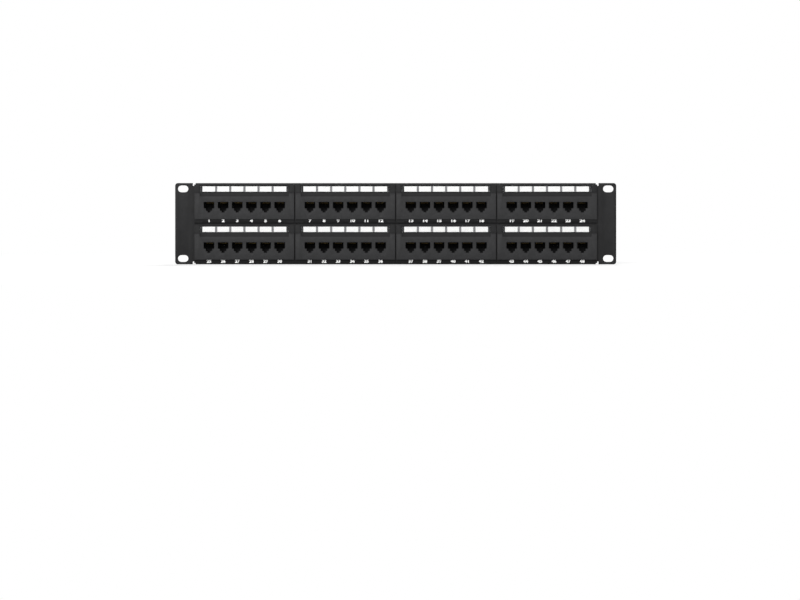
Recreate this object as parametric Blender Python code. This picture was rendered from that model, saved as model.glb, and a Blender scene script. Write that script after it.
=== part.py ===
"""A 48-port patch panel, two rack units high, with its two rear cable bars.

Front faces -Y, +X is right as seen from the front, +Z is up. Units are metres.
The origin is at the centre of the panel's footprint, on the surface it stands on.
Heights inside a row are measured up from that row's base line, and depths from the
front face of the steel, positive towards the rear.
"""
import math

import bmesh
import bpy
from mathutils import Matrix, Vector

# ---- overall ---------------------------------------------------------------------------
PANEL_WIDTH = 0.4826          # across both rack ears
PANEL_HEIGHT = 0.0889         # two rack units
ROW_SPARE = 0.0007            # height beyond the two rows of modules
ROW_LIFT = 0.0006             # lower row's base line above the lower edge
EAR_WIDTH = 0.0208            # flat steel beyond the row of modules, each side
ROWS = 2
COLUMNS = 4
PORTS = 6                     # jacks in one module
SEAT = 0.0003                 # clearance between pieces that rest on each other

# ---- steel frame -----------------------------------------------------------------------
STEEL = 0.0015
EAR_CORNER = 0.003
EAR_SLOT_LENGTH = 0.0115
EAR_SLOT_HEIGHT = 0.0074
EAR_SLOT_INSET = 0.00875      # slot centre from the end of the ear
EAR_SLOT_EDGE = 0.00635       # slot centre from the top or bottom edge
NOTCH_WIDTH = 0.003           # bend relief between an ear and a flange
NOTCH_DEPTH = 0.003
FLANGE_DEPTH = 0.012
BEND_RADIUS = 0.002           # outside of the fold
STUD_RADIUS = 0.0015          # welded studs that carry the cable bars
STUD_CLEARANCE = 0.0003
STUD_PROUD = 0.0012           # stud beyond the foot it carries
WINDOW_CLEARANCE = 0.0006     # steel window round a jack block

# ---- module bezel ----------------------------------------------------------------------
WING = 0.0088                 # bezel beyond the end jack's share of the width
SEAM = 0.0005                 # gap between neighbouring bezels
ROW_FOOT = 0.0008             # bezel's lower edge above the row's base line
ROW_HEAD = 0.0015             # bezel's upper edge below the next row's base line
FACE_PROUD = 0.004            # raised jack face in front of the steel
BASE_PROUD = 0.0022           # the rest of the bezel's front
FACE_SIDE = 0.0004            # base level left bare at each side of the raised face
NUMBER_BAND = 0.0037          # port numbers stand on this band below the raised face
LEDGE = 0.00465               # base level between the raised face and the label
WING_RISE = 0.0042            # how far the wings of the raised face rise beside the ledge
LABEL_RIM = 0.00145           # bezel above the label pocket
POCKET_FLOOR = 0.0012         # plastic left behind the label pocket
LEG_THICKNESS = 0.0022        # snap legs that hold the bezel in the steel
LEG_HEIGHT = 0.007
LEG_INSET = 0.00475           # leg centre from the module's edge
LEG_CLEARANCE = 0.0003
LEG_ABOVE_BAR = 0.00345       # from the top of the cable bar's foot up to the leg
BARB = 0.001
BARB_LENGTH = 0.0022
BARB_TAPER = 0.8              # share of the barb that its tip gives up

# ---- jacks -----------------------------------------------------------------------------
PORT_WIDTH = 0.0116
PORT_BODY = 0.007             # height of the plug's space
LATCH_WIDTH = 0.0072          # first step of the latch notch under it
LATCH_HEIGHT = 0.0026
CATCH_WIDTH = 0.0034          # second step
CATCH_HEIGHT = 0.0019
PORT_DEPTH = 0.012
PORT_LIFT = 0.00075           # port centre above the middle of the raised face
JACK_WALL = 0.00115
JACK_DEPTH = 0.0165

# ---- circuit board and punch-down strips -----------------------------------------------
BOARD_THICKNESS = 0.0016
BOARD_OVERHANG = 0.0002       # board beyond the jack block at each end
BOARD_MARGIN = 0.00295        # board edge inside the row's share of the height
BOARD_CORNER = 0.0015
STRIP_PITCH = 0.017           # between the upper and the lower punch-down strip
STRIP_HEIGHT = 0.0115
STRIP_BASE = 0.0045
STRIP_HEAD = 0.0078           # three heads stand this far behind the base
HEAD_HEIGHT = 0.0068
HEAD_GAP = 0.0014
STRIP_HEADS = 3

# ---- label and its clear cover ---------------------------------------------------------
LABEL_HEIGHT = 0.0061
LABEL_SHORT = 0.0011          # label shorter than the six jacks' share of the width
LABEL_THICKNESS = 0.0003
LABEL_PLAY = 0.00045          # pocket above and below the label
COVER_THICKNESS = 0.001
COVER_END = 0.00265           # cover beyond the label at each end
COVER_PLAY = 0.0003           # pocket round the cover
LUG_WIDTH = 0.0012            # lugs at the cover's ends, beside the label

# ---- cable bars ------------------------------------------------------------------------
BAR_SHEET = 0.0012
BAR_DEPTH = 0.0615            # foot to rear edge
BAR_STRIP_DEPTH = 0.0186
BAR_STRIP_INSET = 0.0082      # strip's end inside the ear
BAR_FLARE = 0.0027            # foot's outer corner beyond the ear's inner edge
BAR_LIP = 0.004               # folded long edges of the strip
ARM_HEIGHT = 0.0114
ARM_LIFT = 0.0034             # arm's outer edge is cut back this far near the foot
ARM_CUT = (0.0292, 0.0202)    # where that cut starts and ends, behind the foot
ARM_BEND = 0.0024             # radius of the fold between arm and foot
WEB_THROAT = 0.003            # open hook between the foot and the arm's web
WEB_CORNER = 0.003
WEB_DROP = 0.0002             # web below the arm's edge
BAR_BOARD_CLEARANCE = 0.00065
BAR_SLOT_LENGTH = 0.004
BAR_SLOT_WIDTH = 0.0047
BAR_SLOT_PITCH = 0.0082
BAR_SLOT_ROWS = (0.0115, 0.0066)   # slot centres from the strip's rear edge
BAR_SLOT_MARGIN = 0.006

# ---- worked out ------------------------------------------------------------------------
BODY_WIDTH = PANEL_WIDTH - 2 * EAR_WIDTH
MODULE_PITCH = BODY_WIDTH / COLUMNS
PORT_PITCH = (MODULE_PITCH - 2 * WING) / PORTS
DEPTH = FACE_PROUD + STEEL + SEAT + BAR_DEPTH
STEEL_Y = FACE_PROUD - DEPTH / 2       # front face of the steel, with the depth centred

POCKET_HEIGHT = LABEL_HEIGHT + 2 * LABEL_PLAY
ROW_PITCH = (PANEL_HEIGHT - ROW_SPARE) / ROWS
BEZEL_TOP = ROW_PITCH - ROW_HEAD
POCKET_TOP = BEZEL_TOP - LABEL_RIM
POCKET_BOTTOM = POCKET_TOP - POCKET_HEIGHT
FACE_BOTTOM = ROW_FOOT + NUMBER_BAND
FACE_TOP = POCKET_BOTTOM - LEDGE
PORT_HEIGHT = PORT_BODY + LATCH_HEIGHT + CATCH_HEIGHT
PORT_Z = (FACE_BOTTOM + FACE_TOP) / 2 + PORT_LIFT
BLOCK_WIDTH = (PORTS - 1) * PORT_PITCH + PORT_WIDTH + 2 * JACK_WALL
BLOCK_HEIGHT = PORT_HEIGHT + 2 * JACK_WALL
BOARD_WIDTH = BLOCK_WIDTH + 2 * BOARD_OVERHANG
BOARD_HEIGHT = ROW_PITCH - 2 * BOARD_MARGIN
BOARD_Z = ROW_PITCH / 2
BOARD_FRONT = JACK_DEPTH + SEAT
STRIP_FRONT = BOARD_FRONT + BOARD_THICKNESS + SEAT
LABEL_WIDTH = PORTS * PORT_PITCH - LABEL_SHORT
LABEL_Z = (POCKET_TOP + POCKET_BOTTOM) / 2
COVER_WIDTH = LABEL_WIDTH + 2 * COVER_END
COVER_HEIGHT = POCKET_HEIGHT - 2 * COVER_PLAY
POCKET_WIDTH = COVER_WIDTH + 2 * COVER_PLAY
POCKET_BACK = -(SEAT + POCKET_FLOOR)
LABEL_BACK = POCKET_BACK - SEAT
COVER_BACK = LABEL_BACK - LABEL_THICKNESS - SEAT
LEG_X = MODULE_PITCH / 2 - LEG_INSET
LEG_Z = ARM_HEIGHT + LEG_ABOVE_BAR + LEG_HEIGHT / 2 - ROW_LIFT

BAR_FOOT = STEEL + SEAT                # foot's front face
BAR_REAR = BAR_FOOT + BAR_DEPTH
BAR_STRIP_FRONT = BAR_REAR - BAR_STRIP_DEPTH
BAR_HALF = BODY_WIDTH / 2 - BAR_STRIP_INSET
FOOT_OUTER = BODY_WIDTH / 2 + BAR_FLARE
FOOT_INNER = (COLUMNS - 1) / 2 * MODULE_PITCH + BOARD_WIDTH / 2 + BAR_BOARD_CLEARANCE
STUD_X = (FOOT_OUTER + FOOT_INNER) / 2
STUD_Z = (ARM_LIFT + ARM_HEIGHT) / 2
STUD_LENGTH = SEAT + BAR_SHEET + STUD_PROUD

# Axes of a drawing: across, up, and the way it is given thickness.
FRONT = Matrix(((1, 0, 0), (0, 0, 1), (0, 1, 0)))
PLAN = Matrix.Identity(3)


# ---- drawing helpers -------------------------------------------------------------------
def rectangle(width, height, x=0.0, y=0.0):
    """Corners of a rectangle centred on (x, y)."""
    w = width / 2
    h = height / 2
    return [(x - w, y - h), (x + w, y - h), (x + w, y + h), (x - w, y + h)]


def arc(x, y, radius, start, end, steps):
    """Points on an arc, angles in degrees, both ends included."""
    points = []
    for i in range(steps + 1):
        angle = math.radians(start + (end - start) * i / steps)
        points.append((x + radius * math.cos(angle), y + radius * math.sin(angle)))
    return points


def circle(x, y, radius, sides=12):
    return arc(x, y, radius, 0, 360, sides)[:-1]


def slot(length, height, x, y, steps=6):
    """A slot with round ends, long along x."""
    radius = height / 2
    reach = length / 2 - radius
    right = arc(x + reach, y, radius, -90, 90, steps)
    left = arc(x - reach, y, radius, 90, 270, steps)
    return right + left


def ring(bm, points, level, axes):
    """Closed loop of edges through the drawing's points, at one level."""
    verts = [bm.verts.new(axes @ Vector((u, v, level))) for u, v in points]
    pairs = zip(verts, verts[1:] + verts[:1])
    return [bm.edges.new(pair) for pair in pairs]


def fill(bm, outline, holes, axes):
    """Faces between an outline and the loops inside it."""
    edges = list(outline)
    for hole in holes:
        edges += hole
    normal = axes @ Vector((0, 0, 1))
    made = bmesh.ops.triangle_fill(bm, edges=edges, normal=normal, use_beauty=True)
    return [item for item in made["geom"] if isinstance(item, bmesh.types.BMFace)]


def draw_out(bm, faces, shift):
    """Extrude a patch of faces; on a closed body the patch itself moves."""
    made = bmesh.ops.extrude_face_region(bm, geom=faces)["geom"]
    verts = [item for item in made if isinstance(item, bmesh.types.BMVert)]
    bmesh.ops.translate(bm, verts=verts, vec=shift)
    if any(len(edge.link_faces) > 2 for face in faces for edge in face.edges):
        bmesh.ops.delete(bm, geom=faces, context="FACES")
    return [item for item in made if isinstance(item, bmesh.types.BMFace)]


def push(bm, faces, distance, axes):
    """Draw a patch out along the drawing's third axis."""
    return draw_out(bm, faces, axes @ Vector((0, 0, distance)))


def prism(points, low, high, axes):
    """A plain outline given thickness."""
    bm = bmesh.new()
    push(bm, fill(bm, ring(bm, points, low, axes), [], axes), high - low, axes)
    return bm


def to_mesh(bm, name):
    bmesh.ops.recalc_face_normals(bm, faces=bm.faces)
    mesh = bpy.data.meshes.new(name)
    bm.to_mesh(mesh)
    bm.free()
    return mesh


def combine(mesh, tools, operation):
    """The mesh after a Boolean with each tool mesh in turn."""
    body = bpy.data.objects.new("body", mesh)
    bpy.context.scene.collection.objects.link(body)
    cutters = []
    for tool in tools:
        cutter = bpy.data.objects.new("cutter", tool)
        bpy.context.scene.collection.objects.link(cutter)
        step = body.modifiers.new("step", "BOOLEAN")
        step.solver = "EXACT"
        step.operation = operation
        step.object = cutter
        cutters.append(cutter)
    graph = bpy.context.evaluated_depsgraph_get()
    result = bpy.data.meshes.new_from_object(body.evaluated_get(graph))
    for item in [body] + cutters:
        bpy.data.objects.remove(item)
    return result


def finish(name, color, roughness, metallic=0.0, alpha=1.0):
    material = bpy.data.materials.new(name)
    material.use_nodes = True
    shader = material.node_tree.nodes["Principled BSDF"]
    shader.inputs["Base Color"].default_value = (*color, 1.0)
    shader.inputs["Roughness"].default_value = roughness
    shader.inputs["Metallic"].default_value = metallic
    shader.inputs["Alpha"].default_value = alpha
    return material


def place(name, mesh, material, location=(0, 0, 0), turn=0.0, parent=None):
    """Put a copy of a mesh in the scene; turn is about the front-to-back axis."""
    node = bpy.data.objects.new(name, mesh)
    if not mesh.materials:
        mesh.materials.append(material)
    bpy.context.scene.collection.objects.link(node)
    node.location = location
    node.rotation_euler = (0, turn, 0)
    node.parent = parent
    return node


# ---- steel frame -----------------------------------------------------------------------
def frame_outline():
    """Ears at full height, and between them an edge that the flanges fold from."""
    half = PANEL_WIDTH / 2
    body = BODY_WIDTH / 2 - NOTCH_WIDTH / 2
    edge = BEND_RADIUS
    top = PANEL_HEIGHT
    round_at = half - EAR_CORNER
    right = [(body, edge), (body, NOTCH_DEPTH), (body + NOTCH_WIDTH, NOTCH_DEPTH)]
    right.append((body + NOTCH_WIDTH, 0))
    right += arc(round_at, EAR_CORNER, EAR_CORNER, -90, 0, 4)
    right += arc(round_at, top - EAR_CORNER, EAR_CORNER, 0, 90, 4)
    right.append((body + NOTCH_WIDTH, top))
    right += [(body + NOTCH_WIDTH, top - NOTCH_DEPTH), (body, top - NOTCH_DEPTH)]
    right.append((body, top - edge))
    left = [(-x, z) for x, z in reversed(right)]
    return right + left


def module_centres():
    """Centre line and base line of every module, top row first, left to right."""
    centres = []
    for row in range(ROWS):
        base = ROW_LIFT + (ROWS - 1 - row) * ROW_PITCH
        for column in range(COLUMNS):
            x = (column - (COLUMNS - 1) / 2) * MODULE_PITCH
            centres.append((x, base))
    return centres


def frame_holes():
    holes = []
    slot_x = PANEL_WIDTH / 2 - EAR_SLOT_INSET
    for x in (-slot_x, slot_x):
        for z in (EAR_SLOT_EDGE, PANEL_HEIGHT - EAR_SLOT_EDGE):
            holes.append(slot(EAR_SLOT_LENGTH, EAR_SLOT_HEIGHT, x, z))
    window = (BLOCK_WIDTH + 2 * WINDOW_CLEARANCE, BLOCK_HEIGHT + 2 * WINDOW_CLEARANCE)
    leg_slot = (LEG_THICKNESS + 2 * LEG_CLEARANCE, LEG_HEIGHT + 2 * LEG_CLEARANCE)
    for x, base in module_centres():
        holes.append(rectangle(*window, x, base + PORT_Z))
        for side in (-1, 1):
            holes.append(rectangle(*leg_slot, x + side * LEG_X, base + LEG_Z))
    return holes


def fold_flange(bm, up):
    """Fold the plate's long edge back and draw the flange out from it."""
    edge = PANEL_HEIGHT - BEND_RADIUS if up > 0 else BEND_RADIUS
    faces = []
    for face in bm.faces:
        centre = face.calc_center_median()
        if abs(centre.z - edge) < 1e-5 and abs(centre.x) < 1e-5:
            faces.append(face)
    around = (0, STEEL_Y + BEND_RADIUS, edge)
    geom = set(faces)
    for face in faces:
        geom.update(face.edges)
        geom.update(face.verts)
    angle = -math.pi / 2 * up
    spun = bmesh.ops.spin(bm, geom=list(geom), cent=around, axis=(1, 0, 0),
                          angle=angle, steps=4, dvec=(0, 0, 0))["geom_last"]
    ends = [item for item in spun if isinstance(item, bmesh.types.BMFace)]
    push(bm, ends, FLANGE_DEPTH - BEND_RADIUS, FRONT)


def frame_mesh():
    bm = bmesh.new()
    back = STEEL_Y + STEEL
    outline = ring(bm, frame_outline(), back, FRONT)
    holes = [ring(bm, points, back, FRONT) for points in frame_holes()]
    studs = []
    for x in (-STUD_X, STUD_X):
        for z in (STUD_Z, PANEL_HEIGHT - STUD_Z):
            studs.append(ring(bm, circle(x, z, STUD_RADIUS), back, FRONT))
    faces = fill(bm, outline, holes + studs, FRONT)
    tips = [fill(bm, stud, [], FRONT) for stud in studs]
    for tip in tips:
        faces += tip
    push(bm, faces, -STEEL, FRONT)
    for tip in tips:
        push(bm, tip, STUD_LENGTH, FRONT)
    fold_flange(bm, 1)
    fold_flange(bm, -1)
    return to_mesh(bm, "frame")


# ---- bezel and jacks -------------------------------------------------------------------
def port_outline(x, z):
    """A plug's opening, with the stepped latch notch pointing down."""
    w = PORT_WIDTH / 2
    a = LATCH_WIDTH / 2
    b = CATCH_WIDTH / 2
    top = z + PORT_HEIGHT / 2
    body = top - PORT_BODY
    step = body - LATCH_HEIGHT
    end = step - CATCH_HEIGHT
    right = [(b, end), (b, step), (a, step), (a, body), (w, body), (w, top)]
    left = [(-u, v) for u, v in reversed(right)]
    return [(x + u, v) for u, v in right + left]


def port_outlines(z):
    return [port_outline((i - (PORTS - 1) / 2) * PORT_PITCH, z) for i in range(PORTS)]


def face_outline():
    """Raised face: the jack field, with wings that rise beside the ledge."""
    half = (MODULE_PITCH - SEAM) / 2 - FACE_SIDE
    inner = POCKET_WIDTH / 2
    right = [(half, FACE_BOTTOM), (half, FACE_TOP + WING_RISE)]
    right += [(inner, FACE_TOP + WING_RISE), (inner, FACE_TOP)]
    return right + [(-x, z) for x, z in reversed(right)]


def grow_barb(bm, tip, x):
    """Draw a snap leg's tip out behind the steel and give it a tapered barb."""
    out = math.copysign(1, x)
    push(bm, tip, BARB_LENGTH, FRONT)
    level = STEEL_Y + STEEL + SEAT + BARB_LENGTH / 2
    side = []
    for face in bm.faces:
        centre = face.calc_center_median()
        beside = abs(centre.x - x - out * LEG_THICKNESS / 2) < 1e-5
        if beside and abs(centre.y - level) < 1e-5:
            side.append(face)
    barb = draw_out(bm, side, (out * BARB, 0, 0))
    for vert in {vert for face in barb for vert in face.verts}:
        if vert.co.y > level:
            vert.co.x -= out * BARB * BARB_TAPER


def bezel_mesh():
    bm = bmesh.new()
    front = STEEL_Y - BASE_PROUD
    back = STEEL_Y - SEAT
    height = BEZEL_TOP - ROW_FOOT
    plate = rectangle(MODULE_PITCH - SEAM, height, 0, ROW_FOOT + height / 2)
    outline = ring(bm, plate, front, FRONT)
    raised = ring(bm, face_outline(), front, FRONT)
    pocket_points = rectangle(POCKET_WIDTH, POCKET_HEIGHT, 0, LABEL_Z)
    pocket = ring(bm, pocket_points, front, FRONT)
    ports = [ring(bm, points, front, FRONT) for points in port_outlines(PORT_Z)]
    legs = []
    for side in (-1, 1):
        points = rectangle(LEG_THICKNESS, LEG_HEIGHT, side * LEG_X, LEG_Z)
        legs.append(ring(bm, points, front, FRONT))
    base_faces = fill(bm, outline, [raised, pocket], FRONT)
    raised_faces = fill(bm, raised, ports + legs, FRONT)
    for leg in legs:
        raised_faces += fill(bm, leg, [], FRONT)
    pocket_faces = fill(bm, pocket, [], FRONT)
    push(bm, base_faces + raised_faces + pocket_faces, back - front, FRONT)
    push(bm, raised_faces, BASE_PROUD - FACE_PROUD, FRONT)
    push(bm, pocket_faces, BASE_PROUD + POCKET_BACK, FRONT)
    for side in (-1, 1):
        x = side * LEG_X
        tip = []
        for face in bm.faces:
            centre = face.calc_center_median()
            near = abs(centre.x - x) < LEG_THICKNESS / 2
            if near and abs(centre.z - LEG_Z) < LEG_HEIGHT / 2 and abs(centre.y - back) < 1e-6:
                tip.append(face)
        tip = push(bm, tip, SEAT + STEEL + SEAT, FRONT)
        grow_barb(bm, tip, x)
    return to_mesh(bm, "bezel")


def jack_mesh():
    bm = bmesh.new()
    block = rectangle(BLOCK_WIDTH, BLOCK_HEIGHT, 0, PORT_Z)
    outline = ring(bm, block, STEEL_Y, FRONT)
    ports = [ring(bm, points, STEEL_Y, FRONT) for points in port_outlines(PORT_Z)]
    faces = fill(bm, outline, ports, FRONT)
    floors = []
    for port in ports:
        floors += fill(bm, port, [], FRONT)
    push(bm, faces + floors, JACK_DEPTH, FRONT)
    push(bm, floors, PORT_DEPTH, FRONT)
    return to_mesh(bm, "jacks")


# ---- board and punch-down strips -------------------------------------------------------
def board_mesh():
    w = BOARD_WIDTH / 2
    h = BOARD_HEIGHT / 2
    c = BOARD_CORNER
    right = [(w - c, -h), (w, -h + c), (w, h - c), (w - c, h)]
    points = right + [(-x, z) for x, z in reversed(right)]
    low = STEEL_Y + BOARD_FRONT
    return to_mesh(prism(points, low, low + BOARD_THICKNESS, FRONT), "board")


def strip_mesh():
    """A punch-down strip: one base with a head for each of three ports."""
    bm = bmesh.new()
    front = STEEL_Y + STRIP_FRONT
    rear = front + STRIP_BASE
    outline = ring(bm, rectangle(BLOCK_WIDTH, STRIP_HEIGHT), rear, FRONT)
    share = BLOCK_WIDTH / STRIP_HEADS
    heads = []
    for i in range(STRIP_HEADS):
        x = (i - (STRIP_HEADS - 1) / 2) * share
        head = rectangle(share - HEAD_GAP, HEAD_HEIGHT, x, 0)
        heads.append(ring(bm, head, rear, FRONT))
    faces = fill(bm, outline, heads, FRONT)
    tops = [fill(bm, head, [], FRONT) for head in heads]
    for top in tops:
        faces += top
    push(bm, faces, -STRIP_BASE, FRONT)
    for top in tops:
        push(bm, top, STRIP_HEAD, FRONT)
    return to_mesh(bm, "strip")


# ---- label and cover -------------------------------------------------------------------
def label_mesh():
    points = rectangle(LABEL_WIDTH, LABEL_HEIGHT)
    back = STEEL_Y + LABEL_BACK
    return to_mesh(prism(points, back - LABEL_THICKNESS, back, FRONT), "label")


def cover_mesh():
    """Clear strip over the label, with a lug behind each end."""
    bm = bmesh.new()
    back = STEEL_Y + COVER_BACK
    outline = ring(bm, rectangle(COVER_WIDTH, COVER_HEIGHT), back, FRONT)
    lug_x = LABEL_WIDTH / 2 + COVER_END / 2
    lugs = []
    for x in (-lug_x, lug_x):
        points = rectangle(LUG_WIDTH, COVER_HEIGHT - 2 * LUG_WIDTH, x, 0)
        lugs.append(ring(bm, points, back, FRONT))
    faces = fill(bm, outline, lugs, FRONT)
    tips = [fill(bm, lug, [], FRONT) for lug in lugs]
    for tip in tips:
        faces += tip
    push(bm, faces, -COVER_THICKNESS, FRONT)
    for tip in tips:
        push(bm, tip, LABEL_THICKNESS + SEAT, FRONT)
    return to_mesh(bm, "cover")


# ---- cable bars ------------------------------------------------------------------------
def channel_mesh():
    """The strip between the arms: a shallow channel folded along both long edges."""
    front = STEEL_Y + BAR_STRIP_FRONT
    rear = STEEL_Y + BAR_REAR
    t = BAR_SHEET
    section = [(front, 0), (rear, 0), (rear, BAR_LIP), (rear - t, BAR_LIP)]
    section += [(rear - t, t), (front + t, t), (front + t, BAR_LIP), (front, BAR_LIP)]
    across = Matrix(((0, 0, 1), (1, 0, 0), (0, 1, 0)))
    reach = BAR_HALF - t / 2
    return to_mesh(prism(section, -reach, reach, across), "channel")


def slot_cutter():
    """Tie slots, two in the rear line, two in the front line, and so on along the strip."""
    bm = bmesh.new()
    room = 2 * (BAR_HALF - BAR_SLOT_MARGIN)
    count = int(room / BAR_SLOT_PITCH)
    for i in range(count):
        x = (i - (count - 1) / 2) * BAR_SLOT_PITCH
        line = BAR_SLOT_ROWS[i // 2 % 2]
        y = STEEL_Y + BAR_REAR - line
        points = rectangle(BAR_SLOT_LENGTH, BAR_SLOT_WIDTH, x, y)
        faces = fill(bm, ring(bm, points, -BAR_SHEET, PLAN), [], PLAN)
        push(bm, faces, 3 * BAR_SHEET, PLAN)
    return to_mesh(bm, "slots")


def arm_line():
    """Middle of the sheet in plan, from the strip's rear corner to the foot's inner end."""
    half = BAR_SHEET / 2
    strip_x = BAR_HALF - half
    front = BAR_STRIP_FRONT
    foot_y = BAR_FOOT + half
    bend = ARM_BEND - half
    bend_x = FOOT_OUTER - half - bend
    bend_y = foot_y + bend
    top = (bend_x + bend, bend_y)

    def along(y):
        return (strip_x + (top[0] - strip_x) * (front - y) / (front - top[1]), y)

    cut = [along(BAR_FOOT + reach) for reach in ARM_CUT]
    turn = arc(bend_x, bend_y, bend, 0, -90, 3)
    return [(strip_x, BAR_REAR), (strip_x, front)] + cut + turn + [(FOOT_INNER, foot_y)]


def sheet_sides(line, thickness):
    """The two faces of a bent sheet whose middle follows a line."""
    sides = []
    for i, point in enumerate(line):
        here = Vector(point)
        ahead = (Vector(line[min(i + 1, len(line) - 1)]) - here).normalized()
        behind = (here - Vector(line[max(i - 1, 0)])).normalized()
        if i == 0:
            behind = ahead
        if i == len(line) - 1:
            ahead = behind
        along = (ahead + behind).normalized()
        across = Vector((-along.y, along.x)) * thickness / 2 / along.dot(ahead)
        sides.append((here - across, here + across))
    return sides


def arm_mesh(side):
    """An arm and its foot as one bent sheet; its outer edge is cut back near the foot."""
    line = arm_line()
    low = [0, 0, 0] + [ARM_LIFT] * (len(line) - 3)
    bm = bmesh.new()
    sections = []
    for (a, b), z in zip(sheet_sides(line, BAR_SHEET), low):
        corners = [(a, z), (b, z), (b, ARM_HEIGHT), (a, ARM_HEIGHT)]
        place_at = [(side * p.x, STEEL_Y + p.y, h) for p, h in corners]
        sections.append([bm.verts.new(co) for co in place_at])
    for one, two in zip(sections, sections[1:]):
        for i in range(4):
            j = (i + 1) % 4
            bm.faces.new((one[i], one[j], two[j], two[i]))
    bm.faces.new(sections[0])
    bm.faces.new(sections[-1])
    return to_mesh(bm, "arm")


def web_mesh(side):
    """Stiffening web inside an arm, widening to the open hook at the foot."""
    line = arm_line()
    throat = BAR_FOOT + BAR_SHEET + WEB_THROAT
    strip_end = line[1]
    foot_end = line[4]
    share = (strip_end[1] - throat) / (strip_end[1] - foot_end[1])
    outer = strip_end[0] + (foot_end[0] - strip_end[0]) * share
    corner = arc(FOOT_INNER + WEB_CORNER, throat + WEB_CORNER, WEB_CORNER, 270, 180, 4)
    rear = BAR_STRIP_FRONT - BAR_SHEET
    points = [strip_end, (outer, throat)] + corner + [(FOOT_INNER, rear)]
    points = [(side * x, STEEL_Y + y) for x, y in points]
    top = ARM_HEIGHT - WEB_DROP
    return to_mesh(prism(points, top - BAR_SHEET, top, PLAN), "web")


def bar_mesh():
    """Channel, arms, feet and webs joined, with the tie slots and the stud holes cut."""
    joined = []
    holes = [slot_cutter()]
    for side in (-1, 1):
        joined += [arm_mesh(side), web_mesh(side)]
        points = circle(side * STUD_X, STUD_Z, STUD_RADIUS + STUD_CLEARANCE)
        middle = STEEL_Y + BAR_FOOT + BAR_SHEET / 2
        hole = prism(points, middle - BAR_SHEET, middle + BAR_SHEET, FRONT)
        holes.append(to_mesh(hole, "hole"))
    body = combine(channel_mesh(), joined, "UNION")
    return combine(body, holes, "DIFFERENCE")


# ---- assembly --------------------------------------------------------------------------
def build():
    for item in list(bpy.data.objects):
        bpy.data.objects.remove(item)

    steel = finish("black_powder_coat", (0.030, 0.030, 0.031), 0.55)
    plastic = finish("dark_grey_plastic", (0.048, 0.048, 0.050), 0.5)
    black = finish("black_plastic", (0.010, 0.010, 0.011), 0.45)
    laminate = finish("green_board", (0.020, 0.110, 0.045), 0.4)
    ivory = finish("ivory_plastic", (0.700, 0.680, 0.600), 0.45)
    paper = finish("white_paper", (0.850, 0.850, 0.850), 0.8)
    clear = finish("clear_plastic", (0.900, 0.920, 0.930), 0.1, alpha=0.3)
    coat = finish("bar_powder_coat", (0.028, 0.028, 0.029), 0.5)

    place("frame", frame_mesh(), steel)
    bezel = bezel_mesh()
    jacks = jack_mesh()
    board = board_mesh()
    strip = strip_mesh()
    label = label_mesh()
    cover = cover_mesh()
    for number, (x, base) in enumerate(module_centres(), 1):
        place(f"bezel_{number}", bezel, plastic, (x, 0, base))
        place(f"jacks_{number}", jacks, black, (x, 0, base))
        place(f"board_{number}", board, laminate, (x, 0, base + BOARD_Z))
        for row, half in (("upper", 1), ("lower", -1)):
            z = base + BOARD_Z + half * STRIP_PITCH / 2
            place(f"strip_{row}_{number}", strip, ivory, (x, 0, z))
        shield = place(f"cover_{number}", cover, clear, (x, 0, base + LABEL_Z))
        place(f"label_{number}", label, paper, parent=shield)
    bar = bar_mesh()
    place("bar_lower", bar, coat)
    place("bar_upper", bar, coat, (0, 0, PANEL_HEIGHT), turn=math.pi)


build()
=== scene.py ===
# %% [markdown]
# # Finishing a rack patch panel
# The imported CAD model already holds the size, the place and the motion of every part.
# This lesson gives it its looks. The steps go from the room (camera, light, floor) to
# the sheet metal, the mouldings, the sockets, the labels and the wiring side.

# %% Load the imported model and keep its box
import math

import bpy
from mathutils import Matrix, Vector


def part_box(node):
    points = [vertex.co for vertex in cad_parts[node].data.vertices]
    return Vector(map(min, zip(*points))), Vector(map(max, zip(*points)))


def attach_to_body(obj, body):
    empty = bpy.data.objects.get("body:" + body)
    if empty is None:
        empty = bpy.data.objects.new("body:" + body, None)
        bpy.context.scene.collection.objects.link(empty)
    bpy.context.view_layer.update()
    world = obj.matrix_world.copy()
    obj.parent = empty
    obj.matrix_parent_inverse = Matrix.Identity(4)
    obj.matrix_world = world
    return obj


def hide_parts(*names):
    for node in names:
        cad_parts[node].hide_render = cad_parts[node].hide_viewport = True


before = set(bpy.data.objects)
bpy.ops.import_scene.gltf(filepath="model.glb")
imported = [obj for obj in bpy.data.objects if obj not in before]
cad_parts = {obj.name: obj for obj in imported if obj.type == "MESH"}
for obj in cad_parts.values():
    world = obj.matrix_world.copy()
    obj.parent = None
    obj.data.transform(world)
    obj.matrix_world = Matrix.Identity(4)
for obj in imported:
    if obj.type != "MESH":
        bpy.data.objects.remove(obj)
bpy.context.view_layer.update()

# %% [markdown]
# ## Places read from the model
# A finished piece should follow its part if the part ever changes, so its place is read
# from the part's box and never typed in. Millimetres are easier to think in than metres
# for a panel this small, so one constant turns them round.

# %% Names and places of the eight modules
MM = 0.001
MODULES = range(1, 9)
COLUMNS = 4
PORTS = 6


def middle(node):
    low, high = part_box(node)
    return (Vector(low) + Vector(high)) / 2


def span(node):
    low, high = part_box(node)
    return Vector(high) - Vector(low)


steel_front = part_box("frame")[0][1]
panel_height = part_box("frame")[1][2]
module_pitch = middle("bezel_2").x - middle("bezel_1").x
row_pitch = middle("bezel_1").z - middle("bezel_5").z
print("module pitch", round(module_pitch / MM, 2), "row pitch", round(row_pitch / MM, 2))

# %% [markdown]
# ## The camera
# The panel is seen squarely from the front, as on a drawing. A long lens from a few metres
# keeps the far edges from spreading, and a vertical shift puts the panel in the upper part
# of the picture without tilting the camera, which would make the sides lean. The shift is
# a share of the picture's width.

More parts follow.
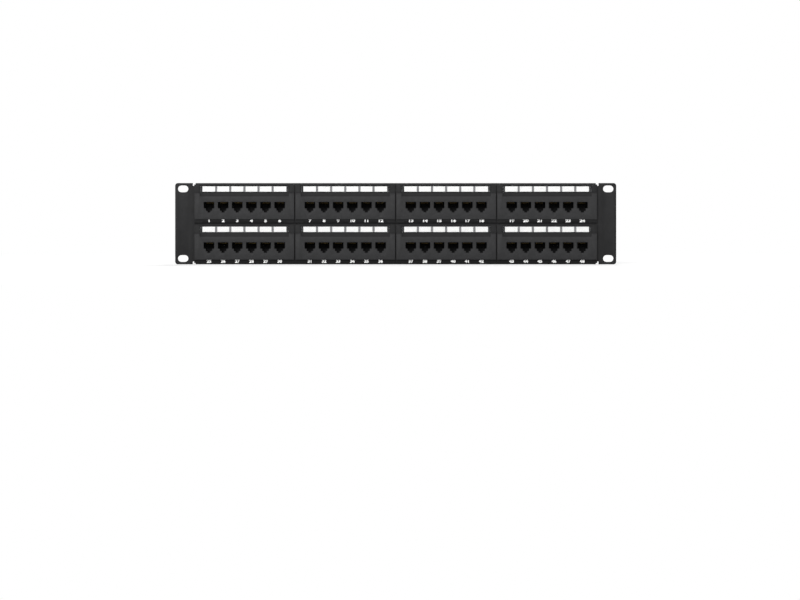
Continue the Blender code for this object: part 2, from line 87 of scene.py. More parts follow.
# %% Camera squarely in front, with a long lens
LENS = 100.0
SENSOR = 36.0
VIEW_WIDTH = 0.8752
VIEW_DROP = 0.0954
VIEW_SIDE = 0.0047

camera = bpy.data.objects.new("camera", bpy.data.cameras.new("camera"))
bpy.context.scene.collection.objects.link(camera)
camera.data.lens = LENS
camera.data.sensor_width = SENSOR
camera_distance = VIEW_WIDTH * LENS / SENSOR
camera.location = (VIEW_SIDE, steel_front - camera_distance, panel_height / 2)
camera.rotation_euler = (math.radians(90), 0, 0)
camera.data.shift_y = -VIEW_DROP
camera.data.clip_end = 20
bpy.context.scene.camera = camera
print("camera stands", round(camera_distance, 2), "m in front of the steel")

# %% [markdown]
# ## Floor and backdrop
# A product stand is one sheet that runs flat under the object and curves up behind it, so no
# edge shows. Here it is a plane whose rear edge is drawn up, with the fold rounded by a
# bevel. It is white by its own colour. Near the panel it keeps the panel's soft shadow, and
# farther out what the camera and the glossy surfaces see of it fades to pure white.

# %% A helper that leaves exactly one piece selected
def only(piece):
    bpy.ops.object.select_all(action="DESELECT")
    piece.select_set(True)
    bpy.context.view_layer.objects.active = piece


def pick(piece, kind, test):
    """In edit mode, select the faces or edges whose test is true."""
    only(piece)
    bpy.ops.object.mode_set(mode="EDIT")
    bpy.ops.mesh.select_mode(type=kind)
    bpy.ops.mesh.select_all(action="DESELECT")
    bpy.ops.object.mode_set(mode="OBJECT")
    mesh = piece.data
    for part in mesh.polygons if kind == "FACE" else mesh.edges:
        corners = [mesh.vertices[i].co for i in part.vertices]
        part.select = test(corners)
    bpy.ops.object.mode_set(mode="EDIT")


def done():
    bpy.ops.object.mode_set(mode="OBJECT")


# %% The sweep: a plane with its rear edge drawn up
SWEEP_SIZE = 12.0
SWEEP_BACK = 2.5
SWEEP_CURVE = 0.8
TOUCH = 0.00001

bpy.ops.object.select_all(action="DESELECT")
bpy.ops.mesh.primitive_plane_add(size=SWEEP_SIZE, location=(0, SWEEP_BACK - SWEEP_SIZE / 2, 0))
sweep = bpy.context.object
sweep.name = "sweep"
bpy.ops.object.transform_apply(location=True)
pick(sweep, "EDGE", lambda ends: all(end.y > SWEEP_BACK - TOUCH for end in ends))
bpy.ops.mesh.extrude_region_move(TRANSFORM_OT_translate={"value": (0, 0, SWEEP_SIZE / 2)})
done()
pick(sweep, "EDGE", lambda ends: all(end.y > SWEEP_BACK - TOUCH and end.z < TOUCH for end in ends))
bpy.ops.mesh.bevel(offset=SWEEP_CURVE, segments=16, affect="EDGES")
done()
bpy.ops.object.shade_smooth()
print("sweep faces", len(sweep.data.polygons))

# %% White for the sweep and the world
SWEEP_WHITE = 0.80
LIFT_NEAR = 0.55
LIFT_REACH = (0.35, 0.9)
WORLD_FILL = 0.45


def seen_rays(tree):
    """1 for rays that look at the backdrop: from the camera, a mirror or a clear part."""
    path = tree.nodes.new("ShaderNodeLightPath")
    total = path.outputs["Is Camera Ray"]
    for ray in ("Is Glossy Ray", "Is Transmission Ray"):
        add = tree.nodes.new("ShaderNodeMath")
        add.operation = "ADD"
        add.use_clamp = True
        tree.links.new(total, add.inputs[0])
        tree.links.new(path.outputs[ray], add.inputs[1])
        total = add.outputs[0]
    return total


def ranged(tree, value, low, high, to_low, to_high):
    """A value carried from one range to another."""
    node = tree.nodes.new("ShaderNodeMapRange")
    node.inputs["From Min"].default_value = low
    node.inputs["From Max"].default_value = high
    node.inputs["To Min"].default_value = to_low
    node.inputs["To Max"].default_value = to_high
    tree.links.new(value, node.inputs["Value"])
    return node.outputs["Result"]


white = bpy.data.materials.new("sweep_white")
white.use_nodes = True
tree = white.node_tree
shader = tree.nodes["Principled BSDF"]
shader.inputs["Base Color"].default_value = (SWEEP_WHITE, SWEEP_WHITE, SWEEP_WHITE, 1)
shader.inputs["Roughness"].default_value = 0.9
shader.inputs["Specular IOR Level"].default_value = 0.1
glow = tree.nodes.new("ShaderNodeEmission")
place = tree.nodes.new("ShaderNodeTexCoord")
reach = tree.nodes.new("ShaderNodeVectorMath")
reach.operation = "LENGTH"
tree.links.new(place.outputs["Object"], reach.inputs[0])
lift = tree.nodes.new("ShaderNodeMath")
lift.operation = "MULTIPLY"
tree.links.new(ranged(tree, reach.outputs["Value"], *LIFT_REACH, LIFT_NEAR, 1), lift.inputs[0])
tree.links.new(seen_rays(tree), lift.inputs[1])
blend = tree.nodes.new("ShaderNodeMixShader")
tree.links.new(lift.outputs[0], blend.inputs[0])
tree.links.new(shader.outputs[0], blend.inputs[1])
tree.links.new(glow.outputs[0], blend.inputs[2])
tree.links.new(blend.outputs[0], tree.nodes["Material Output"].inputs[0])
sweep.data.materials.append(white)

world = bpy.data.worlds.new("studio")
world.use_nodes = True
bpy.context.scene.world = world
tree = world.node_tree
background = tree.nodes["Background"]
background.inputs["Color"].default_value = (1, 1, 1, 1)
tree.links.new(ranged(tree, seen_rays(tree), 0, 1, WORLD_FILL, 1), background.inputs["Strength"])
bpy.context.scene.view_settings.view_transform = "Standard"
print("world fill", WORLD_FILL)

# %% [markdown]
# ## Light
# A panel full of ledges and pockets needs light from above: every ledge then casts a soft
# shadow on the band under it, and every upper edge catches a fine bright line. One broad
# lamp stands over the camera, and a weaker one behind the panel lights its wiring side.

# %% Two broad lamps
def softbox(name, place, width, height, power):
    lamp = bpy.data.objects.new(name, bpy.data.lights.new(name, "AREA"))
    bpy.context.scene.collection.objects.link(lamp)
    lamp.data.shape = "RECTANGLE"
    lamp.data.size = width
    lamp.data.size_y = height
    lamp.data.energy = power
    lamp.location = place
    aim = Vector((0, 0, panel_height / 2)) - Vector(place)
    lamp.rotation_euler = aim.to_track_quat("-Z", "Y").to_euler()
    return lamp


softbox("key", (-0.5, -2.2, 1.25), 1.4, 0.9, 62)
softbox("rear", (0.5, 1.9, 1.7), 1.3, 0.8, 48)

# %% [markdown]
# ## Finishes
# Nothing here is one flat colour. Powder coat is a skin of melted grains, so it is bumpy at
# about half a millimetre and its gloss varies. A moulding carries the finer spark texture
# of its steel mould. All are the same recipe with other numbers: a slow noise for tone, a
# middle one for gloss and a fine one for the bumps, all on Object coordinates.

# %% One recipe for grained surfaces
def noise(tree, place, size, detail):
    node = tree.nodes.new("ShaderNodeTexNoise")
    node.inputs["Scale"].default_value = 1 / size
    node.inputs["Detail"].default_value = detail
    tree.links.new(place.outputs["Object"], node.inputs["Vector"])
    return node.outputs["Fac"]


def grained(name, color, roughness, grain, depth, tone=0.08, gloss=0.05, metallic=0.0,
            specular=0.5):
    """A finish whose grain is so many metres across and so many metres deep."""
    material = bpy.data.materials.new(name)
    material.use_nodes = True
    tree = material.node_tree
    shader = tree.nodes["Principled BSDF"]
    shader.inputs["Metallic"].default_value = metallic
    shader.inputs["Specular IOR Level"].default_value = specular
    place = tree.nodes.new("ShaderNodeTexCoord")
    shade = tree.nodes.new("ShaderNodeMix")
    shade.name = "shade"
    shade.data_type = "RGBA"
    shade.inputs["A"].default_value = (*[c * (1 - tone) for c in color], 1)
    shade.inputs["B"].default_value = (*[min(c * (1 + tone), 1) for c in color], 1)
    tree.links.new(ranged(tree, noise(tree, place, grain * 14, 3), 0.3, 0.7, 0, 1),
                   shade.inputs["Factor"])
    tree.links.new(shade.outputs["Result"], shader.inputs["Base Color"])
    dull = ranged(tree, noise(tree, place, grain * 4, 2), 0.3, 0.7, roughness - gloss,
                  roughness + gloss)
    tree.links.new(dull, shader.inputs["Roughness"])
    bump = tree.nodes.new("ShaderNodeBump")
    bump.inputs["Strength"].default_value = 0.6
    bump.inputs["Distance"].default_value = depth
    tree.links.new(noise(tree, place, grain, 2), bump.inputs["Height"])
    tree.links.new(bump.outputs["Normal"], shader.inputs["Normal"])
    return material


# %% Painted shade: the moulding darker where it is set back
def paint_recess_shade(material, front, back, share):
    """Paint shade into a finish: its tone drops from its front level to a deeper one, along the
    depth.
    """
    tree = material.node_tree
    place = tree.nodes.new("ShaderNodeTexCoord")
    split = tree.nodes.new("ShaderNodeSeparateXYZ")
    tree.links.new(place.outputs["Object"], split.inputs[0])
    depth = ranged(tree, split.outputs["Y"], back, front, share, 1)
    recess_shade_tint = tree.nodes.new("ShaderNodeVectorMath")
    recess_shade_tint.operation = "SCALE"
    tree.links.new(tree.nodes["shade"].outputs["Result"], recess_shade_tint.inputs[0])
    tree.links.new(depth, recess_shade_tint.inputs["Scale"])
    tree.links.new(recess_shade_tint.outputs[0], tree.nodes["Principled BSDF"].inputs["Base Color"])


# %% The finishes of this panel
FACE_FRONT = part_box("bezel_1")[0][1]
BASE_STEP = 1.8 * MM           # from the raised face back to the moulding's base level
# Where the painted recess shade sets in, and how much of the face's tone it leaves at the base
# level:
SHADE_START = 0.3 * MM         # behind the raised face, where the darker tone sets in
RECESS_SHADE_SHARE = 0.5               # of the face's tone, at the base level

powder_coat = grained("powder_coat", (0.016, 0.016, 0.0165), 0.58, 0.0006, 0.00004, specular=0.08)
bar_coat = grained("bar_coat", (0.011, 0.011, 0.0113), 0.52, 0.0006, 0.00004, specular=0.3)
moulding = grained("grey_moulding", (0.024, 0.024, 0.0248), 0.6, 0.0003, 0.00002, specular=0.1)
# Painted shade: the moulding darkens towards its base level, standing in for the shadow in its
# recesses.
paint_recess_shade(moulding, FACE_FRONT + SHADE_START, FACE_FRONT + BASE_STEP, RECESS_SHADE_SHARE)
socket_black = grained("socket_black", (0.007, 0.007, 0.0072), 0.6, 0.0003, 0.00002,
                       specular=0.06)
board_mask = grained("green_mask", (0.012, 0.085, 0.034), 0.35, 0.0008, 0.00002, tone=0.18)
copper_mask = grained("masked_copper", (0.03, 0.17, 0.06), 0.33, 0.0004, 0.00001, tone=0.1)
ivory = grained("ivory_moulding", (0.66, 0.63, 0.53), 0.45, 0.0003, 0.00001, tone=0.03)
paper = grained("label_paper", (0.85, 0.85, 0.84), 0.85, 0.0004, 0.00001, tone=0.015,
                specular=0.2)
ink_white = grained("white_ink", (0.80, 0.80, 0.79), 0.6, 0.0002, 0.00001, tone=0.05)
shade_band_black = grained("painted_shade_black", (0.004, 0.004, 0.004), 0.6, 0.0002, 0.00001, specular=0.1)
ink_grey = grained("grey_ink", (0.16, 0.16, 0.165), 0.7, 0.0002, 0.00001, tone=0.08)
# Painted shade: the contacts' gold is far darker than plated gold, standing in for the shade deep
# inside the sockets.
shade_dimmed_gold = grained("gold_plate_painted_dark", (0.18, 0.125, 0.043), 0.35, 0.0002, 0.000003, metallic=1.0)
tin = grained("bright_tin", (0.62, 0.62, 0.61), 0.32, 0.0003, 0.000004, metallic=1.0)
print("finishes", len(bpy.data.materials))

# %% [markdown]
# ## Helpers for finished parts
# A CAD solid has knife-sharp edges, and no real edge is one. Its copy is welded, cleared of
# the lines that cross flat faces, and given a small round on each edge, which is what
# catches the light. Each finished piece then says which body carries it.

# %% Copy a CAD node and soften its edges
def attach(piece, body, material):
    """Give a piece its finish and the body that carries it."""
    piece.data.materials.clear()
    piece.data.materials.append(material)
    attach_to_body(piece, body)


def welded(node, name, cuts=()):
    """A copy of a CAD node, with its triangles joined into plain faces.

    A face can't be joined round a hole, so the piece is first cut through its holes, at the
    given places along it, and the joining stops at those cuts.
    """
    piece = bpy.data.objects.new(name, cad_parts[node].data.copy())
    bpy.context.scene.collection.objects.link(piece)
    only(piece)
    bpy.ops.object.mode_set(mode="EDIT")
    bpy.ops.mesh.select_all(action="SELECT")
    bpy.ops.mesh.remove_doubles(threshold=0.000002)
    for x in cuts:
        bpy.ops.mesh.select_all(action="SELECT")
        bpy.ops.mesh.bisect(plane_co=(x, 0, 0), plane_no=(1, 0, 0))
        bpy.ops.mesh.mark_seam()
    bpy.ops.mesh.select_all(action="SELECT")
    bpy.ops.mesh.dissolve_limited(angle_limit=math.radians(1), delimit={"SEAM"})
    done()
    return piece


def rounded(piece, edge, segments=2):
    """Round every sharp edge and shade the rounds smooth."""
    only(piece)
    rounding = piece.modifiers.new("rounding", "BEVEL")
    rounding.width = edge
    rounding.segments = segments
    rounding.limit_method = "ANGLE"
    rounding.angle_limit = math.radians(50)
    bpy.ops.object.modifier_apply(modifier=rounding.name)
    bpy.ops.object.shade_smooth_by_angle(angle=math.radians(40))
    return piece


def twin(piece, name, shift):
    """A copy with its own mesh, moved within the mesh."""
    copy = bpy.data.objects.new(name, piece.data.copy())
    bpy.context.scene.collection.objects.link(copy)
    copy.data.transform(Matrix.Translation(shift))
    return copy


def joined(parts, name):
    """Several shapes made into one piece."""
    bpy.ops.object.select_all(action="DESELECT")
    for part in parts:
        part.select_set(True)
    bpy.context.view_layer.objects.active = parts[0]
    bpy.ops.object.join()
    parts[0].name = name
    return parts[0]


def block(name, size, centre):
    """A box of this size at this place, ready to be shaped."""
    bpy.ops.object.select_all(action="DESELECT")
    bpy.ops.mesh.primitive_cube_add(size=1, location=centre)
    piece = bpy.context.object
    piece.name = name
    piece.scale = size
    bpy.ops.object.transform_apply(location=True, scale=True)
    return piece


# %% [markdown]
# ## The steel frame
# The frame is one sheet of steel: punched, folded along its long edges, then powder coated.
# The coat rounds the punched edges off a little, so the softened copy of the solid is all
# that the shape needs.

# %% Steel frame
RACK_SLOT_INSET = 8.75 * MM    # from the ear's end to the middle of its rack slots
STUD_INSET = 23.2 * MM         # from the ear's end to the middle of the bar's studs
LEG_INSET = 4.75 * MM          # from a module's edge to the middle of its snap leg


def leg_places(number):
    """The two places along a module where its snap legs pass through the steel."""
    reach = module_pitch / 2 - LEG_INSET
    return [middle(f"bezel_{number}").x - reach, middle(f"bezel_{number}").x + reach]


STEEL_EDGE = 0.12 * MM


def frame_cuts():
    """Places along the steel that pass through its rack slots, studs, windows and leg slots."""
    cuts = []
    for inset in (RACK_SLOT_INSET, STUD_INSET):
        place = span("frame").x / 2 - inset
        cuts += [-place, place]
    for number in range(1, COLUMNS + 1):
        cuts += [middle(f"jacks_{number}").x, *leg_places(number)]
    return cuts


steel = rounded(welded("frame", "steel_frame", frame_cuts()), STEEL_EDGE)
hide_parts("frame")
attach(steel, "panel", powder_coat)
print("steel frame", len(steel.data.polygons), "faces")

# %% [markdown]
# ## Bezels and sockets
# Eight equal mouldings snap into the steel. The first is finished with care, and the others
# are copies of it moved by whole module pitches, each with a mesh of its own so that any
# one can be changed later. The wings beside the label have sloping tops, so those two edges
# get a broad flat before all the edges are rounded.

# %% The first bezel, with sloped wing tops
WING_SLOPE = 1.4 * MM
MOULDED_EDGE = 0.15 * MM
SOCKET_AND_WALLS = 13.9 * MM   # one socket and the block's two end walls
PORT_PITCH = (span("jacks_1").x - SOCKET_AND_WALLS) / (PORTS - 1)


def port_x(number, port):
    return middle(f"bezel_{number}").x + (port - (PORTS - 1) / 2) * PORT_PITCH


def module_shift(number):
    """From module 1 to this one, measured on the bezels."""
    return middle(f"bezel_{number}") - middle("bezel_1")


def wing_top(ends):
    """The front upper edge of a wing: level, high, at the raised face's front."""
    level = abs(ends[0].z - ends[1].z) < TOUCH
    front = all(abs(end.y - FACE_FRONT) < TOUCH for end in ends)
    high = ends[0].z > middle("bezel_1").z + 9 * MM
    return level and front and high


socket_places = [port_x(1, port) for port in range(PORTS)]
bezel = welded("bezel_1", "bezel_front_1", socket_places + leg_places(1))
pick(bezel, "EDGE", wing_top)
bpy.ops.mesh.bevel(offset=WING_SLOPE, segments=1, affect="EDGES")
done()
rounded(bezel, MOULDED_EDGE)
print("bezel", len(bezel.data.polygons), "faces")

# %% Bezels and socket blocks for all modules
socket_block = rounded(welded("jacks_1", "socket_block_1", socket_places), MOULDED_EDGE)
for number in MODULES:
    shift = module_shift(number)
    front = bezel if number == 1 else twin(bezel, f"bezel_front_{number}", shift)
    sockets = socket_block
    if number > 1:
        sockets = twin(socket_block, f"socket_block_{number}", shift)
    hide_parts(f"bezel_{number}")
    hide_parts(f"jacks_{number}")
    attach(front, "panel", moulding)
    attach(sockets, "panel", socket_black)
print("socket block", len(socket_block.data.polygons), "faces")

# %% [markdown]
# ## Contact wires
# Inside each socket eight gold wires hang from the roof: each runs forward along the roof,
# turns under in a tight bend and slopes back down, and the plug pushes that slope up. One
# wire is a thin bar whose front face is spun round the bend and then drawn out.

# %% One contact wire
ROOF_WALL = 1.15 * MM          # the block's wall over the sockets
WIRE_WIDTH = 0.45 * MM
WIRE_THICK = 0.3 * MM
WIRE_PITCH = 1.02 * MM
WIRE_TURN = math.radians(155)   # how far the bend turns under
WIRE_BEND = 0.55 * MM
WIRE_TAIL = 4.0 * MM
WIRES = 8
WIRE_DROP = 0.35 * MM           # wires' middle below the roof
SOCKET_DEPTH = 12 * MM
WIRE_DEPTH = 8.0 * MM           # the bend's place behind the steel's front
BEZEL_FOOT = 0.8 * MM           # lower edge of a moulding above its row's base line

socket_floor = steel_front + SOCKET_DEPTH
wire_front = steel_front + WIRE_DEPTH
row_base = {n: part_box(f"bezel_{n}")[0].z - BEZEL_FOOT for n in MODULES}

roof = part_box("jacks_1")[1].z - ROOF_WALL - WIRE_DROP
run = socket_floor - wire_front
first_wire_x = port_x(1, 0) - (WIRES - 1) / 2 * WIRE_PITCH
wire = block("wire", (WIRE_WIDTH, run, WIRE_THICK), (first_wire_x, wire_front + run / 2, roof))
pick(wire, "FACE", lambda c: all(v.y < wire_front + TOUCH for v in c))
bpy.ops.mesh.spin(steps=4, angle=-WIRE_TURN, axis=(1, 0, 0),
                  center=(first_wire_x, wire_front, roof - WIRE_BEND))
tail = (0, -math.cos(WIRE_TURN) * WIRE_TAIL, -math.sin(WIRE_TURN) * WIRE_TAIL)
bpy.ops.mesh.extrude_region_move(TRANSFORM_OT_translate={"value": tail})
done()
wire_points = [vertex.co for vertex in wire.data.vertices]
print("wire from", round((min(p.y for p in wire_points) - steel_front) / MM, 2),
      "mm behind the steel's face, hanging", round((roof - min(p.z for p in wire_points)) / MM, 2))

# %% Forty-eight wires to a module, copied to all modules
wires = []
for port in range(PORTS):
    for turn in range(WIRES):
        shift = Vector((port * PORT_PITCH + turn * WIRE_PITCH, 0, 0))
        wires.append(twin(wire, "wire", shift))
bpy.data.objects.remove(wire)
contacts = joined(wires, "contacts_1")
only(contacts)
bpy.ops.object.shade_smooth_by_angle(angle=math.radians(40))
for number in MODULES:
    piece = contacts
    if number > 1:
        piece = twin(contacts, f"contacts_{number}", module_shift(number))
    attach(piece, "panel", shade_dimmed_gold)
print("contacts in a module", len(contacts.data.polygons), "faces")

# %% [markdown]
# ## Port numbers
# The numbers are pad-printed on the band under each row of sockets. A text object is set at
# the height of the print, given the thickness of a coat of ink, made into a mesh and only
# then put in its place, so that the finished piece sits at the origin like every other one.
# Heavy strokes keep small numbers readable, so the outline is thickened before that.

# %% A printed number
INK = 0.04 * MM
CAPITAL = 0.72                 # height of a digit as a share of its text size
HEAVY = 0.06


def printed(text, height, place, turn=0.0, squeeze=1.0):
    """Digits as a thin mesh facing the front, or the rear when turned half round."""
    bpy.ops.object.select_all(action="DESELECT")
    bpy.ops.object.text_add()
    digits = bpy.context.object
    digits.data.body = text
    digits.data.resolution_u = 4
    digits.data.offset = HEAVY
    digits.data.align_x = "CENTER"
    digits.data.align_y = "CENTER"
    bpy.ops.object.convert(target="MESH")
    size = height / CAPITAL
    digits.location = place
    digits.rotation_euler = (math.radians(90), 0, turn)
    digits.scale = (size * squeeze, size, size)
    bpy.ops.object.transform_apply(location=True, rotation=True, scale=True)
    bpy.ops.object.mode_set(mode="EDIT")
    bpy.ops.mesh.select_all(action="SELECT")
    shift = (0, -2 * INK if turn == 0 else 2 * INK, 0)
    bpy.ops.mesh.extrude_region_move(TRANSFORM_OT_translate={"value": shift})
    bpy.ops.mesh.select_all(action="SELECT")
    bpy.ops.mesh.normals_make_consistent(inside=False)
    done()
    return digits


# %% A black band of painted shade at the foot of each row, with the white numbers on it
SHADE_BAND_LOW = 1.0 * MM
SHADE_BAND_PROUD = 2.2 * MM           # in front of the steel
UPPER_SHADE_BAND = {"width": 92 * MM, "top": 2.6 * MM}
LOWER_SHADE_BAND = {"width": 109 * MM, "top": 4.3 * MM}

shade_band_front = steel_front - SHADE_BAND_PROUD
for number in MODULES:
    style = UPPER_SHADE_BAND if number <= COLUMNS else LOWER_SHADE_BAND
    height = style["top"] - SHADE_BAND_LOW
    centre_z = row_base[number] + SHADE_BAND_LOW + height / 2
    size = (style["width"], INK, height)
    centre = (middle(f"bezel_{number}").x, shade_band_front - INK / 2, centre_z)
    # The band is a black sheet of painted shade: it stands in for the shadow under the raised face
    # and along the panel's lower edge.
    band = rounded(block(f"painted_shade_band_{number}", size, centre), INK / 4, 1)
    attach(band, "panel", shade_band_black)
print("number bands", round((shade_band_front - FACE_FRONT) / MM, 2), "mm behind the raised face")

# %% Numbers 1 to 24 above, 25 to 48 below
UPPER_PRINT = {"height": 3.2 * MM, "centre": 2.95 * MM, "squeeze": 1.3}
LOWER_PRINT = {"height": 3.5 * MM, "centre": 2.7 * MM, "squeeze": 1.0}

for number in MODULES:
    style = UPPER_PRINT if number <= COLUMNS else LOWER_PRINT
    digits = []
    for port in range(PORTS):
        place = (port_x(number, port), shade_band_front, row_base[number] + style["centre"])
        text = str((number - 1) * PORTS + port + 1)
        digits.append(printed(text, style["height"], place, squeeze=style["squeeze"]))
    attach(joined(digits, f"port_numbers_{number}"), "panel", ink_white)
print("digit height", round((max(v.co.z for v in digits[0].data.vertices)
                             - min(v.co.z for v in digits[0].data.vertices)) / MM, 2))

# %% [markdown]
# ## Circuit boards
# Each module's sockets are soldered to one upright board. The copy of the solid gets its
# green mask, and three kinds of small work are laid on its rear face, which shows between
# the punch-down strips: tracks under the mask, solder joints with their pin tips, and
# printed numbers above and below the strips.

# %% Boards
BOARD_EDGE = 0.12 * MM

board = rounded(welded("board_1", "circuit_board_1"), BOARD_EDGE, 1)
for number in MODULES:
    piece = board
    if number > 1:
        piece = twin(board, f"circuit_board_{number}", module_shift(number))
    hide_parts(f"board_{number}")
    attach(piece, "panel", board_mask)
board_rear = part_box("board_1")[1][1]
board_centre = middle("board_1")
print("board rear face", round(board_rear / MM, 2))

# %% One solder joint: a low cone with its pin
JOINT_RADIUS = 0.68 * MM
JOINT_HEIGHT = 0.55 * MM
PIN_RADIUS = 0.26 * MM
PIN_TIP = 0.5 * MM
JOINT_ROWS = 1.27 * MM         # each row from the middle of the board
JOINT_SINK = 0.02 * MM


def first_joint():
    """A solder joint at the first pin of port 1, pointing to the rear."""
    bpy.ops.object.select_all(action="DESELECT")
    centre_y = board_rear - JOINT_SINK + JOINT_HEIGHT / 2
    place = (first_wire_x, centre_y, board_centre.z)
    bpy.ops.mesh.primitive_cone_add(vertices=8, radius1=JOINT_RADIUS, radius2=PIN_RADIUS,
                                    depth=JOINT_HEIGHT, location=place,
                                    rotation=(math.radians(-90), 0, 0))
    joint = bpy.context.object
    bpy.ops.object.transform_apply(location=True, rotation=True)
    top = max(v.co.y for v in joint.data.vertices)
    pick(joint, "FACE", lambda c: all(v.y > top - TOUCH for v in c))
    bpy.ops.mesh.extrude_region_move(TRANSFORM_OT_translate={"value": (0, PIN_TIP, 0)})
    bpy.ops.transform.resize(value=(0.6, 1, 0.6), center_override=(place[0], top, place[2]))
    done()
    return joint


joint = first_joint()
joints = []
for port in range(PORTS):
    for pin in range(WIRES):
        row = JOINT_ROWS if pin % 2 else -JOINT_ROWS
        shift = Vector((port * PORT_PITCH + pin * WIRE_PITCH, 0, row))
        joints.append(twin(joint, "joint", shift))
bpy.data.objects.remove(joint)
solder = joined(joints, "solder_joints_1")
only(solder)
bpy.ops.object.shade_smooth_by_angle(angle=math.radians(50))
for number in MODULES:
    piece = solder
    if number > 1:
        piece = twin(solder, f"solder_joints_{number}", module_shift(number))
    attach(piece, "panel", tin)
print("solder joints", len(solder.data.polygons), "faces")

# %% Tracks from the joints to the strips
TRACK_WIDTH = 0.4 * MM
TRACK_THICK = 0.05 * MM
TRACK_REACH = 7.0 * MM
TRACK_JOG = 0.6 * MM
TRACK_START = 0.9 * MM          # straight length before the slanted step


def first_track(up):
    """A track from the first joint towards a strip, with one slanted step on the way."""
    start = board_centre.z + up * JOINT_ROWS
    depth = board_rear + TRACK_THICK / 2 - JOINT_SINK / 2
    centre = (first_wire_x, depth, start + up * TRACK_START / 2)
    track = block("track", (TRACK_WIDTH, TRACK_THICK, TRACK_START), centre)
    end = start + up * TRACK_START
    pick(track, "FACE", lambda c: all(abs(v.z - end) < TOUCH for v in c))
    slant = (TRACK_JOG, 0, up * TRACK_JOG)
    bpy.ops.mesh.extrude_region_move(TRANSFORM_OT_translate={"value": slant})
    rest = (0, 0, up * (TRACK_REACH - TRACK_START - TRACK_JOG))
    bpy.ops.mesh.extrude_region_move(TRANSFORM_OT_translate={"value": rest})
    done()
    return track


tracks = []
for up, first_pin in ((1, 1), (-1, 0)):
    track = first_track(up)
    for port in range(PORTS):
        for pin in range(first_pin, WIRES, 2):
            shift = Vector((port * PORT_PITCH + pin * WIRE_PITCH, 0, 0))
            tracks.append(twin(track, "track", shift))
    bpy.data.objects.remove(track)
tracks = joined(tracks, "tracks_1")
for number in MODULES:
    piece = tracks
    if number > 1:
        piece = twin(tracks, f"tracks_{number}", module_shift(number))
    attach(piece, "panel", copper_mask)
print("tracks", len(tracks.data.polygons), "faces")

# %% Numbers printed on the board, read from behind
BOARD_PRINT = 2.2 * MM
BOARD_PRINT_EDGE = 2.4 * MM    # from the board's upper or lower edge
HEAD_PITCH = span("strip_upper_1").x / 3

for number in MODULES:
    digits = []
    low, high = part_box(f"board_{number}")
    for port in range(PORTS):
        x = middle(f"board_{number}").x + (port // 2 - 1) * HEAD_PITCH
        z = low[2] + BOARD_PRINT_EDGE if port % 2 else high[2] - BOARD_PRINT_EDGE
        text = str((number - 1) * PORTS + port + 1)
        digits.append(printed(text, BOARD_PRINT, (x, board_rear, z), turn=math.pi))
    attach(joined(digits, f"board_numbers_{number}"), "panel", ink_white)
print("board numbers printed")

# %% [markdown]
# ## Punch-down strips
# Each wire is pushed down between two teeth, where a forked blade cuts through its jacket.
# So a strip is a long foot with three heads, each a comb of nine teeth. A tooth is a box
# whose rear face is drawn out and narrowed to a ridge, which is what guides the wire into
# the slot. A blade shows in every slot as two bright prongs.

# %% One head: a bar with nine teeth
HEADS = 3
HEAD_GAP = 1.4 * MM
HEAD_HEIGHT = 6.8 * MM
FOOT_DEPTH = 4.5 * MM
BAR_DEPTH = 2.4 * MM
TOOTH_DEPTH = 2.9 * MM
SLOT_WIDTH = 1.0 * MM

strip_low, strip_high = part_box("strip_upper_1")
strip_middle = middle("strip_upper_1")
head_width = (span("strip_upper_1").x + HEAD_GAP) / HEADS - HEAD_GAP
cell = head_width / WIRES
head_front = strip_low[1] + FOOT_DEPTH
head_left = strip_low[0]
ridge_depth = strip_high[1] - head_front - BAR_DEPTH - TOOTH_DEPTH


def tooth(x, width):
    """A tooth narrowed to a ridge at its rear end."""
    front = head_front + BAR_DEPTH
    centre = (x, front + TOOTH_DEPTH / 2, strip_middle.z)
    piece = block("tooth", (width, TOOTH_DEPTH, HEAD_HEIGHT), centre)
    top = front + TOOTH_DEPTH
    pick(piece, "FACE", lambda c: all(v.y > top - TOUCH for v in c))
    bpy.ops.mesh.extrude_region_move(TRANSFORM_OT_translate={"value": (0, ridge_depth, 0)})
    bpy.ops.transform.resize(value=(0.4, 1, 0.82), center_override=(x, top, strip_middle.z))
    done()
    return piece


def comb():
    bar_centre = (head_left + head_width / 2, head_front + BAR_DEPTH / 2, strip_middle.z)
    parts = [block("bar", (head_width, BAR_DEPTH, HEAD_HEIGHT), bar_centre)]
    half = (cell - SLOT_WIDTH) / 2
    parts.append(tooth(head_left + half / 2, half))
    parts.append(tooth(head_left + head_width - half / 2, half))
    for index in range(1, WIRES):
        parts.append(tooth(head_left + index * cell, cell - SLOT_WIDTH))
    return joined(parts, "comb")


print("wire slots", round(cell / MM, 2), "mm apart, ridge", round(ridge_depth / MM, 2))

# %% A whole strip: foot, three heads and their rounding
STRIP_EDGE = 0.12 * MM

foot_centre = (strip_middle.x, strip_low[1] + FOOT_DEPTH / 2, strip_middle.z)
foot = block("foot", (span("strip_upper_1").x, FOOT_DEPTH, span("strip_upper_1").z), foot_centre)
first_head = comb()
heads = [foot, first_head]
for index in range(1, HEADS):
    heads.append(twin(first_head, "comb", Vector((index * (head_width + HEAD_GAP), 0, 0))))
strip = rounded(joined(heads, "punch_strip_upper_1"), STRIP_EDGE, 1)
print("strip", len(strip.data.polygons), "faces")

# %% Forked blades in the slots
PRONG = (0.32 * MM, 4.2 * MM, 0.5 * MM)
PRONG_GAP = 0.3 * MM
PRONG_TIP = 0.5 * MM


